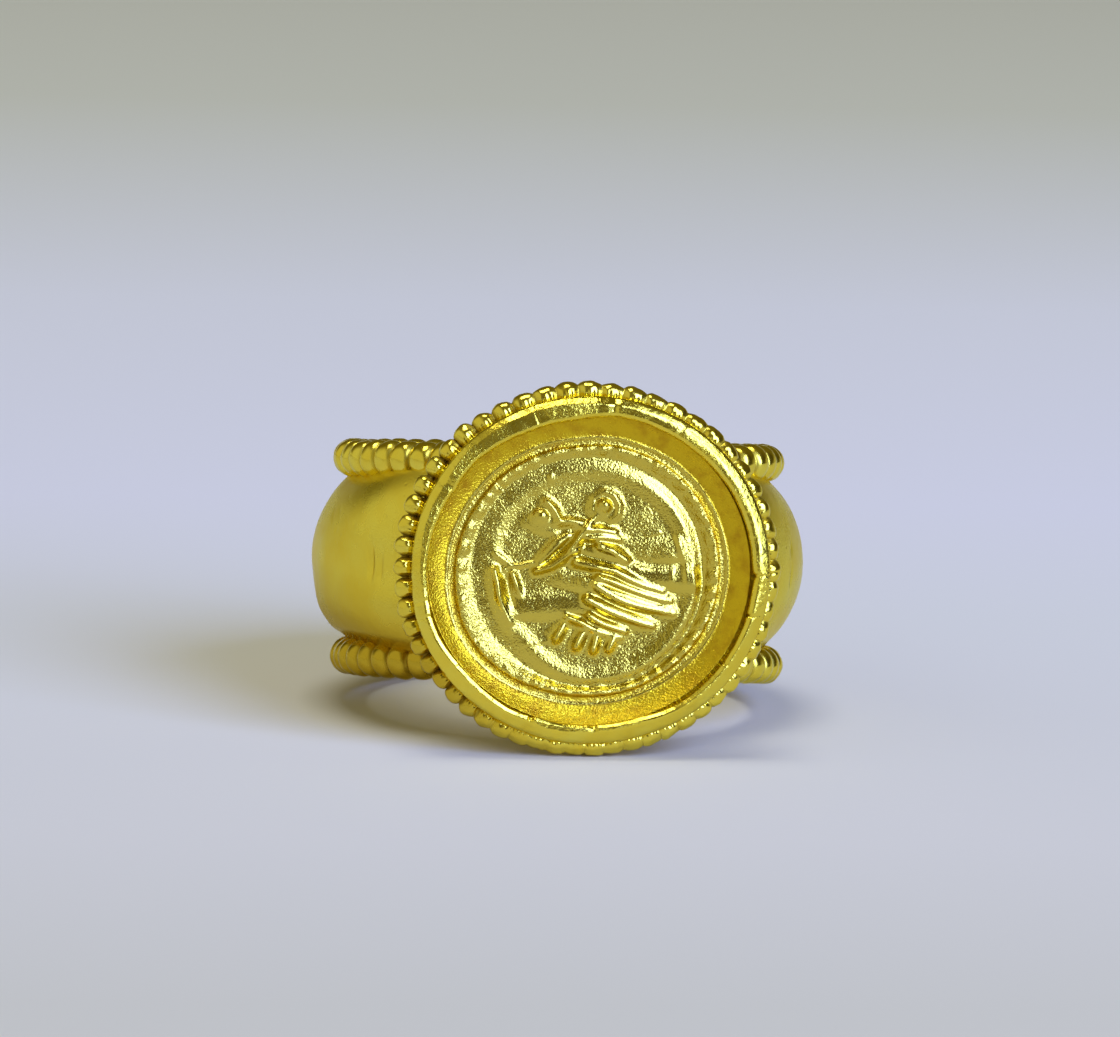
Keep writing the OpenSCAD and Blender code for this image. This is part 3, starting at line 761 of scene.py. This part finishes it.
def sampled(field, x, y):
    """Values of the even grid between its points."""
    i, j = (x + RELIEF_REACH) / RELIEF_CELL, (y + RELIEF_REACH) / RELIEF_CELL
    i0, j0 = np.clip(i.astype(int), 0, len(field) - 2), np.clip(j.astype(int), 0, len(field) - 2)
    u, v = np.clip(i - i0, 0, 1), np.clip(j - j0, 0, 1)
    near_i = field[i0, j0] * (1 - v) + field[i0, j0 + 1] * v
    far_i = field[i0 + 1, j0] * (1 - v) + field[i0 + 1, j0 + 1] * v
    return near_i * (1 - u) + far_i * u


# Radius of the crest round the field and of the trough outside it, by angle from +x towards +y in degrees
CREST = [[0, 43, 90, 150, 175, 200, 230, 255, 270, 300, 335, 350, 360],
         [4.5, 4.5, 4.45, 4.4, 4.15, 4.05, 4.2, 4.75, 4.95, 4.9, 4.75, 4.7, 4.5]]
TROUGH = [[0, 60, 120, 180, 230, 262, 290, 330, 360],
          [5.06, 5.08, 5.12, 5.06, 5.06, 5.35, 5.4, 5.3, 5.06]]
# How far the plate falls between them
FALL = [[0, 42, 62, 100, 200, 235, 330, 360], [0.21, 0.2, 0.1, 0.03, 0.02, 0.15, 0.2, 0.21]]
# Radius of the fine ridge between the ring of bosses and the sloping border
RIDGE = [[0, 40, 60, 75, 90, 120, 135, 150, 175, 190, 205, 220, 235, 250, 290, 330, 360],
         [6.08, 6.1, 6.05, 6.0, 5.88, 5.86, 5.9, 5.95, 6.04, 6.15, 6.28, 6.26, 6.2, 6.1, 6.05, 6.07, 6.08]]
# Share of wear on the sloping border
BORDER_WEAR = [[0, 185, 225, 315, 330, 360], [0.1, 0.25, 0.9, 0.9, 0.1, 0.1]]
# Hollows with punched grain inside the relief: middle and half widths
HOLLOWS = [(-0.75, -0.5, 1.0, 0.6), (2.8, 0.8, 1.1, 0.6)]
CREST_HEIGHT = 0.08
RIDGE_HALF = 0.08
BOSSES = 44
BOSS_HALF = 0.3
# How far inside the ridge the middle of the ring of bosses lies
BOSS_INSIDE = 0.58
BORDER_RISE = 0.5


def ring_bump(r, middle, half, height):
    """Round ridge of that half width along a circle."""
    return height * np.clip(1 - ((r - middle) / half) ** 2, 0, 1)


def grain_share(x, y, r, form, turn, relief, patches):
    """Share of grain at each point: punched in the field, which the smooth relief lacks, and worn into the
    lower part of the sloping border."""
    crest, trough, fall, ridge = form
    bare = smoothstep(0.24, 0.02, relief) * patches
    for hx, hy, half_x, half_y in HOLLOWS:
        bare = np.maximum(bare, smoothstep(1.1, 0.7, np.hypot((x - hx) / half_x, (y - hy) / half_y)))
    slope = smoothstep(0.08, 0.16, fall) * smoothstep(crest, crest + 0.15, r) * smoothstep(trough, crest, r)
    among_bosses = smoothstep(trough - 0.1, trough + 0.3, r)
    grain = bare * (1 - 0.5 * slope) * (1 + 0.9 * among_bosses) * smoothstep(ridge, ridge - 0.1, r)
    return grain + along(turn, BORDER_WEAR) * smoothstep(ridge, ridge + 0.15, r)


def border_share(r, ridge, patches):
    """Share of the deeper and duller gold: all of the sloping border, and patches of the groove inside it,
    where the deeper gold is painted shade.
    """
    groove = smoothstep(ridge - 0.44, ridge - 0.34, r) * smoothstep(ridge - 0.06, ridge - 0.16, r)
    # In the groove the deeper gold is painted shade
    return smoothstep(ridge, ridge + 0.08, r) + 0.9 * groove * patches


def medallion_front(x, y):
    """Distance of the medallion's front from the hoop axis, and its shares of grain and border."""
    turn = np.arctan2(y, x)
    flat = np.stack([x, y, np.zeros_like(x)], -1)
    slow = unevenness(flat, 1.6, 11)
    r = np.hypot(x, y) / (1 + OVAL * np.cos(2 * turn)) + 0.05 * slow
    form = [along(turn, table) for table in (CREST, TROUGH, FALL, RIDGE)]
    crest, trough, fall, ridge = form
    # From the field a low crest, a slope out to a trough, and a slope up to the ring of bosses
    plate = CREST_HEIGHT * smoothstep(crest - 0.6, crest, r) - fall * smoothstep(crest, trough, r)
    plate = plate + (fall + CREST_HEIGHT) * smoothstep(trough - 0.1, ridge - 0.5, r)
    # Ring of small punched bosses, run together by wear, then a groove and a fine ridge
    patchy = 0.6 + 0.9 * unevenness(flat, 0.5, 15)
    bosses = np.cos(BOSSES * turn + 5 * slow)
    plate = plate + ring_bump(r, ridge - BOSS_INSIDE, BOSS_HALF, 0.04 + 0.06 * bosses * patchy)
    plate = plate - 0.13 * smoothstep(ridge - 0.42, ridge - 0.28, r)
    plate = plate + 0.07 * smoothstep(ridge - 0.14, ridge, r)
    plate = plate + ring_bump(r, ridge, RIDGE_HALF, 0.04 + 0.02 * patchy)
    # Sloping border, up to the rim
    up = np.clip((r - ridge - 0.02) / (MEDAL_R - ridge), 0, 1)
    plate = plate + BORDER_RISE * up ** 1.5 + 0.03 * up * unevenness(flat, 0.9, 16)
    relief = sampled(hands_relief(), x, y) * smoothstep(crest + 0.5, crest, r)
    grain = grain_share(x, y, r, form, turn, relief, 0.75 + 0.5 * unevenness(flat, 1.1, 17))
    border = border_share(r, ridge, smoothstep(-0.5, 0.3, unevenness(flat, 1.4, 18)))
    pricked = lumps(flat, PRICKS) * (0.15 + grain)
    high = FIELD_Y + plate + relief + pricked + 0.012 * unevenness(flat, 0.7, 14)
    return high, grain, border


def make_medallion():
    """Square rings of cells pressed into round ones, which keep one cell size from centre to edge."""
    half = MEDAL_HALF_CELLS
    i, j = np.meshgrid(np.arange(-half, half + 1), np.arange(-half, half + 1), indexing="ij")
    ring = np.maximum(np.abs(i), np.abs(j))
    short = np.minimum(np.abs(i), np.abs(j)) / np.maximum(ring, 1) * pi / 4
    wide = np.abs(i) >= np.abs(j)
    turn = np.arctan2(np.sign(j) * np.where(wide, np.sin(short), np.cos(short)),
                      np.sign(i) * np.where(wide, np.cos(short), np.sin(short)))
    r = MEDAL_R * ring / half * (1 + OVAL * np.cos(2 * turn))
    x, y = r * np.cos(turn), r * np.sin(turn)
    high, grain, border = medallion_front(x, y)
    front = np.stack([CUP_X + x, -high, CUP_Z + y], -1).reshape(-1, 3)
    index = np.arange(len(front)).reshape(x.shape)
    quads = [index[:-1, :-1], index[1:, :-1], index[1:, 1:], index[:-1, 1:]]
    faces = np.stack(quads, axis=-1).reshape(-1, 4).tolist()
    edge = np.concatenate([index[:-1, 0], index[-1, :-1], index[:0:-1, -1], index[0, :0:-1]])
    back = front[edge].copy()
    back[:, 1] = -MEDAL_BACK_Y
    first = len(front)
    around = len(edge)
    for k in range(around):
        m = (k + 1) % around
        faces.append([edge[k], edge[m], first + m, first + k])
        faces.append([first + k, first + m, first + around])
    points = np.concatenate([front, back, [[CUP_X, -MEDAL_BACK_Y, CUP_Z]]])
    piece = finish_mesh("medallion_sheet", points, faces)
    set_attribute(piece, "grain", np.concatenate([grain.ravel(), np.zeros(around + 1)]))
    set_attribute(piece, "border", np.concatenate([border.ravel(), np.ones(around + 1)]))
    return piece


# Materials

GOLD = "#F0E25A"
DEEP_GOLD = "#EAC72A"
FIELD_GOLD = "#DAC44C"
BORDER_GOLD = "#D9B722"
STAIN = "#B4841A"
# Browner gold painted low on the left side as shade
LOW_LEFT_SHADE = "#C6A62A"
# Brown of the seams between beads: grime, and painted shade of the seams' hollows
SEAM_DIRT_AND_SHADE = "#7A5E1A"
EDGE_GOLD = "#F0F0D0"


def new_material(name):
    """New material with its tree, its shader and the Object coordinates that its patterns follow."""
    material = bpy.data.materials.new(name)
    material.use_nodes = True
    tree = material.node_tree
    where = add(tree, "ShaderNodeTexCoord").outputs["Object"]
    return material, tree, tree.nodes["Principled BSDF"], where


def cloudy_gold(tree, cloud):
    """Colour that shifts between paler and deeper gold with the cloud."""
    tint = add(tree, "ShaderNodeMix",
               {FACTOR: cloud, FIRST: hex_colour(GOLD), SECOND: hex_colour(DEEP_GOLD)}, data_type="RGBA")
    return tint.outputs[MIXED]


def low_left_painted_shade(tree, where, colour):
    """The colour darkened and browned low on the left side: painted shade, for the shadowed floor that the
    gold reflects there, where the photograph is darker. It is a guess, and no coating that the gold has."""
    parts = add(tree, "ShaderNodeSeparateXYZ", [where])
    low = add(tree, "ShaderNodeMapRange", [parts.outputs["Z"], 6.8 * MM, 3.8 * MM, 0.0, 1.0])
    left = add(tree, "ShaderNodeMapRange", [parts.outputs["X"], -1.0 * MM, -7.0 * MM, 0.0, 1.0])
    share = add(tree, "ShaderNodeMath", [low, left], operation="MULTIPLY")
    shaded = add(tree, "ShaderNodeMix",
               {FACTOR: share, FIRST: colour, SECOND: hex_colour(LOW_LEFT_SHADE)}, data_type="RGBA")
    return shaded.outputs[MIXED]


def finish_gold(tree, shader, colour, roughness, height, strength, depth):
    """Gives a gold's shader its colour, its roughness and a fine surface of that depth in millimetres."""
    bump = add(tree, "ShaderNodeBump", {"Strength": strength, "Distance": depth * MM, "Height": height})
    tree.links.new(colour, shader.inputs["Base Color"])
    tree.links.new(roughness.outputs[0], shader.inputs["Roughness"])
    tree.links.new(bump.outputs[0], shader.inputs["Normal"])
    shader.inputs["Metallic"].default_value = 1
    shader.inputs["Specular Tint"].default_value = hex_colour(EDGE_GOLD)


def worn_gold():
    """High-carat gold sheet, hammered, burnished and long worn: soft broad reflections, with small pits and
    the finest scuffs that show, about a tenth of a millimetre, that break the highlights."""
    material, tree, shader, where = new_material("worn_gold")
    cloud = add(tree, "ShaderNodeTexNoise", {"Vector": where, "Scale": per_mm(2.2), "Detail": 4.0})
    # Darker and browner low on the left side: painted shade
    colour = low_left_painted_shade(tree, where, cloudy_gold(tree, cloud))
    haze = add(tree, "ShaderNodeMapRange", [cloud, 0.3, 0.7, 0.22, 0.36])
    fine = add(tree, "ShaderNodeTexNoise", {"Vector": where, "Scale": per_mm(0.09), "Detail": 3.0})
    pits = add(tree, "ShaderNodeTexVoronoi", {"Vector": where, "Scale": per_mm(0.6)}, feature="F1")
    pit = add(tree, "ShaderNodeMapRange", [pits, 0.06, 0.16, 0.0, 1.0])
    surface = add(tree, "ShaderNodeMath", [pit, 0.8, fine], operation="MULTIPLY_ADD")
    finish_gold(tree, shader, colour, haze, surface, strength=0.5, depth=0.025)
    return material


def cup_gold():
    """The cup's thicker gold, burnished by wear and scuffed: clear reflections with many fine sparks."""
    material, tree, shader, where = new_material("burnished_gold")
    cloud = add(tree, "ShaderNodeTexNoise", {"Vector": where, "Scale": per_mm(1.1), "Detail": 3.0})
    haze = add(tree, "ShaderNodeMapRange", [cloud, 0.3, 0.7, 0.12, 0.24])
    fine = add(tree, "ShaderNodeTexNoise", {"Vector": where, "Scale": per_mm(0.16), "Detail": 4.0})
    patch = add(tree, "ShaderNodeTexNoise", {"Vector": where, "Scale": per_mm(1.6), "Detail": 1.0})
    amount = add(tree, "ShaderNodeMapRange", [patch, 0.35, 0.6, 0.3, 1.1])
    surface = add(tree, "ShaderNodeMath", [fine, amount], operation="MULTIPLY")
    finish_gold(tree, shader, cloudy_gold(tree, cloud), haze, surface, strength=0.7, depth=0.05)
    return material


def wire_gold():
    """Gold wire rolled into beads between grooved plates: bright and smooth on the crowns of the beads, and
    dull in the seams, whose brown is grime that has stayed there together with painted shade of their
    hollows."""
    material, tree, shader, where = new_material("wire_gold")
    cloud = add(tree, "ShaderNodeTexNoise", {"Vector": where, "Scale": per_mm(1.1), "Detail": 3.0})
    # Darker and browner low on the left side: painted shade
    low_shaded_gold = low_left_painted_shade(tree, where, cloudy_gold(tree, cloud))
    seam = add(tree, "ShaderNodeAttribute", attribute_name="seam").outputs["Fac"]
    # Brown in the seams: grime and painted shade
    dirt_and_shade = add(tree, "ShaderNodeMapRange", [seam, 0.35, 0.9, 0.0, 0.9])
    dirtied_and_shaded = add(tree, "ShaderNodeMix",
                 {FACTOR: dirt_and_shade, FIRST: low_shaded_gold, SECOND: hex_colour(SEAM_DIRT_AND_SHADE)}, data_type="RGBA")
    dull = add(tree, "ShaderNodeMapRange", [seam, 0.2, 0.66, 0.17, 0.45])
    fine = add(tree, "ShaderNodeTexNoise", {"Vector": where, "Scale": per_mm(0.25), "Detail": 3.0})
    finish_gold(tree, shader, dirtied_and_shaded.outputs[MIXED], dull, fine, strength=0.3, depth=0.02)
    return material


def embossed_gold():
    """Gold sheet pressed over a die and punched from behind: satin relief on a ground of fine grains, each of
    which catches the light on its own, and a matte sloping border."""
    material, tree, shader, where = new_material("embossed_gold")
    grain = add(tree, "ShaderNodeAttribute", attribute_name="grain").outputs["Fac"]
    border = add(tree, "ShaderNodeAttribute", attribute_name="border").outputs["Fac"]
    grime = add(tree, "ShaderNodeTexNoise", {"Vector": where, "Scale": per_mm(0.7), "Detail": 4.0})
    stain = add(tree, "ShaderNodeMapRange", [grime, 0.45, 0.75, 0.0, 0.8])
    deep = add(tree, "ShaderNodeMix",
               {FACTOR: stain, FIRST: hex_colour(BORDER_GOLD), SECOND: hex_colour(STAIN)}, data_type="RGBA")
    tint = add(tree, "ShaderNodeMix",
               {FACTOR: border, FIRST: hex_colour(FIELD_GOLD), SECOND: deep.outputs[MIXED]}, data_type="RGBA")
    cloud = add(tree, "ShaderNodeTexNoise", {"Vector": where, "Scale": per_mm(1.5), "Detail": 4.0})
    rough = add(tree, "ShaderNodeMapRange", [border, 0.0, 1.0, 0.11, 0.24])
    rougher = add(tree, "ShaderNodeMath", [cloud, 0.12, rough], operation="MULTIPLY_ADD")
    # Grains of about a tenth of a millimetre, the finest that show, and scratches on the border
    fine = add(tree, "ShaderNodeTexNoise", {"Vector": where, "Scale": per_mm(0.09), "Detail": 2.0})
    cells = add(tree, "ShaderNodeTexVoronoi", {"Vector": where, "Scale": per_mm(0.11)}, feature="F1")
    pricked = add(tree, "ShaderNodeMath", [cells, grain], operation="MULTIPLY")
    matte = add(tree, "ShaderNodeMath", [border, 1.5, 0.8], operation="MULTIPLY_ADD")
    uneven = add(tree, "ShaderNodeMath", [grain, matte], operation="ADD")
    roughened = add(tree, "ShaderNodeMath", [fine, uneven], operation="MULTIPLY")
    surface = add(tree, "ShaderNodeMath", [pricked, 0.8, roughened], operation="MULTIPLY_ADD")
    finish_gold(tree, shader, tint.outputs[MIXED], rougher, surface, strength=0.8, depth=0.019)
    return material


# Colours of the paper, by distance behind the ring in millimetres. The darker, yellower colours before the
# ring and far behind it are painted falloff of light.
PAPER_AND_FALLOFF = [(-61.5, "#CEC7AA"), (-30, "#D7D0B8"), (25, "#DAD6C2"), (60, "#DED9CC"), (140, "#DFDBCB"),
         (260, "#D2CEAC")]
PAPER_START = -100
PAPER_END = 400


def paper_with_painted_falloff():
    """Pale matte paper under the ring, palest some way behind it and darker and yellower before it and far
    off, where the fall of light is painted into its colour.
    """
    material, tree, shader, where = new_material("studio_paper")
    parts = add(tree, "ShaderNodeSeparateXYZ", [where])
    share = add(tree, "ShaderNodeMapRange",
                [parts.outputs["Y"], PAPER_START * MM, PAPER_END * MM, 0.0, 1.0])
    ramp = add(tree, "ShaderNodeValToRGB", [share])
    stops = [((y - PAPER_START) / (PAPER_END - PAPER_START), code) for y, code in PAPER_AND_FALLOFF]
    for at, code in stops[1:-1]:
        ramp.color_ramp.elements.new(at)
    for element, (at, code) in zip(ramp.color_ramp.elements, stops):
        element.position = at
        element.color = hex_colour(code)
    tree.links.new(ramp.outputs["Color"], shader.inputs["Base Color"])
    shader.inputs["Roughness"].default_value = 0.9
    return material


# Studio, in metres

FLOOR_REACH = 1.5
LIGHT_DISTANCE = 0.9
ROOM = "#6A622E"
DARK_SIDE = "#464020"
CARD = "#CCCDC2"


def direction(azimuth, elevation):
    """Unit vector at these angles in degrees, to the right of -Y and upwards."""
    turn, rise = radians(azimuth), radians(elevation)
    return Vector((sin(turn) * cos(rise), -cos(turn) * cos(rise), sin(rise)))


def make_floor():
    """Flat sheet of paper under the ring."""
    corners = FLOOR_REACH * np.array([[-1, -1, 0], [1, -1, 0], [1, 1, 0], [-1, 1, 0]])
    floor = finish_mesh("floor", corners, [[0, 1, 2, 3]], Matrix.Identity(4))
    floor.data.materials.append(paper_with_painted_falloff())


def make_light(name, azimuth, elevation, width, height, radiance, colour):
    """Soft box that faces the ring."""
    way = direction(azimuth, elevation)
    data = bpy.data.lights.new(name, "AREA")
    data.shape = "RECTANGLE"
    data.size = width
    data.size_y = height
    data.energy = radiance * pi * width * height
    data.color = hex_colour(colour)[:3]
    light = bpy.data.objects.new(name, data)
    light.location = HOOP_CENTRE + way * LIGHT_DISTANCE
    light.rotation_euler = way.to_track_quat("Z", "Y").to_euler()
    bpy.context.scene.collection.objects.link(light)


def sector(tree, way, towards, near_edge, full, low, high):
    """Share of the room on one side, from the cosine at its edge to where it is full, that fades out between
    two heights."""
    facing = add(tree, "ShaderNodeVectorMath", [way, towards], operation="DOT_PRODUCT").outputs["Value"]
    side = add(tree, "ShaderNodeMapRange", [facing, near_edge, full, 0.0, 1.0],
               interpolation_type="SMOOTHSTEP")
    height = add(tree, "ShaderNodeSeparateXYZ", [way]).outputs["Z"]
    below = add(tree, "ShaderNodeMapRange", [height, low, high, 1.0, 0.0], interpolation_type="SMOOTHSTEP")
    return add(tree, "ShaderNodeMath", [side, below], operation="MULTIPLY")


def make_room():
    """Dim room with a lit surface behind, a white card on the left and a darker side on the right."""
    world = bpy.data.worlds.new("studio")
    world.use_nodes = True
    tree = world.node_tree
    way = add(tree, "ShaderNodeTexCoord").outputs["Generated"]
    lit = sector(tree, way, (-0.5, 0.87, 0), -0.6, 0.5, 0.02, 0.24)
    card = sector(tree, way, (-0.95, -0.3, 0), 0.3, 0.7, 0.75, 0.95)
    dark = sector(tree, way, (0.92, -0.39, 0), 0.3, 0.85, 0.5, 0.9)
    pale = add(tree, "ShaderNodeMath", [lit, card], operation="MAXIMUM")
    dim = add(tree, "ShaderNodeMix",
              {FACTOR: dark, FIRST: hex_colour(ROOM), SECOND: hex_colour(DARK_SIDE)}, data_type="RGBA")
    room = add(tree, "ShaderNodeMix",
               {FACTOR: pale, FIRST: dim.outputs[MIXED], SECOND: hex_colour(CARD)}, data_type="RGBA")
    background = tree.nodes["Background"]
    background.inputs["Strength"].default_value = 1
    tree.links.new(room.outputs[MIXED], background.inputs["Color"])
    bpy.context.scene.world = world


def make_studio():
    """The paper, a bluish soft box at the right front, a smaller one overhead and the room."""
    make_floor()
    make_light("key", 37, 28, 0.48, 0.74, 14, "#9CB0FF")
    make_light("overhead", -90, 84, 0.42, 0.34, 8, "#E8EEFF")
    make_room()
    bpy.context.scene.view_settings.view_transform = "Standard"


# Camera, at the photograph's angle. Its angles are from -Y, from the hoop's middle plane and of roll, its
# distance and aim are in millimetres, and its focal length is in pixels of the photograph.
CAMERA_AZIMUTH = -6.44
CAMERA_RISE = 1.2
CAMERA_ROLL = radians(0.77)
CAMERA_DISTANCE = 350
AIM_RIGHT = 0.11
AIM_UP = 1.83
FOCAL_PX = 7700
PHOTO_WIDTH = 1120


def make_camera():
    """Camera that looks at the ring as the photograph's did, with its view turned by the roll."""
    back = direction(CAMERA_AZIMUTH, CAMERA_RISE)
    right = direction(CAMERA_AZIMUTH + 90, 0)
    up = back.cross(right)
    rolled_right = cos(CAMERA_ROLL) * right + sin(CAMERA_ROLL) * up
    rolled_up = cos(CAMERA_ROLL) * up - sin(CAMERA_ROLL) * right
    eye = back * CAMERA_DISTANCE
    aim = rolled_right * AIM_RIGHT + rolled_up * AIM_UP
    away = (eye - aim).normalized()
    level = rolled_up.cross(away).normalized()
    axes = Matrix((level, away.cross(level), away)).transposed().to_4x4()
    data = bpy.data.cameras.new("camera")
    data.sensor_width = 36
    data.lens = FOCAL_PX * data.sensor_width / PHOTO_WIDTH
    data.clip_start = 0.01
    data.clip_end = 10
    camera = bpy.data.objects.new("camera", data)
    camera.matrix_world = Matrix.Translation(TO_REST @ eye) @ Matrix.Rotation(-TILT, 4, "X") @ axes
    bpy.context.scene.collection.objects.link(camera)
    bpy.context.scene.camera = camera


make_camera()
make_studio()
sheet_gold = worn_gold()
beads_gold = wire_gold()
wires = make_wires(beads_gold)
place(make_band(), "ring", sheet_gold)
place(make_cup(), "ring", cup_gold())
for wire in wires:
    place(wire, "ring", beads_gold)
place(make_medallion(), "medallion", embossed_gold())
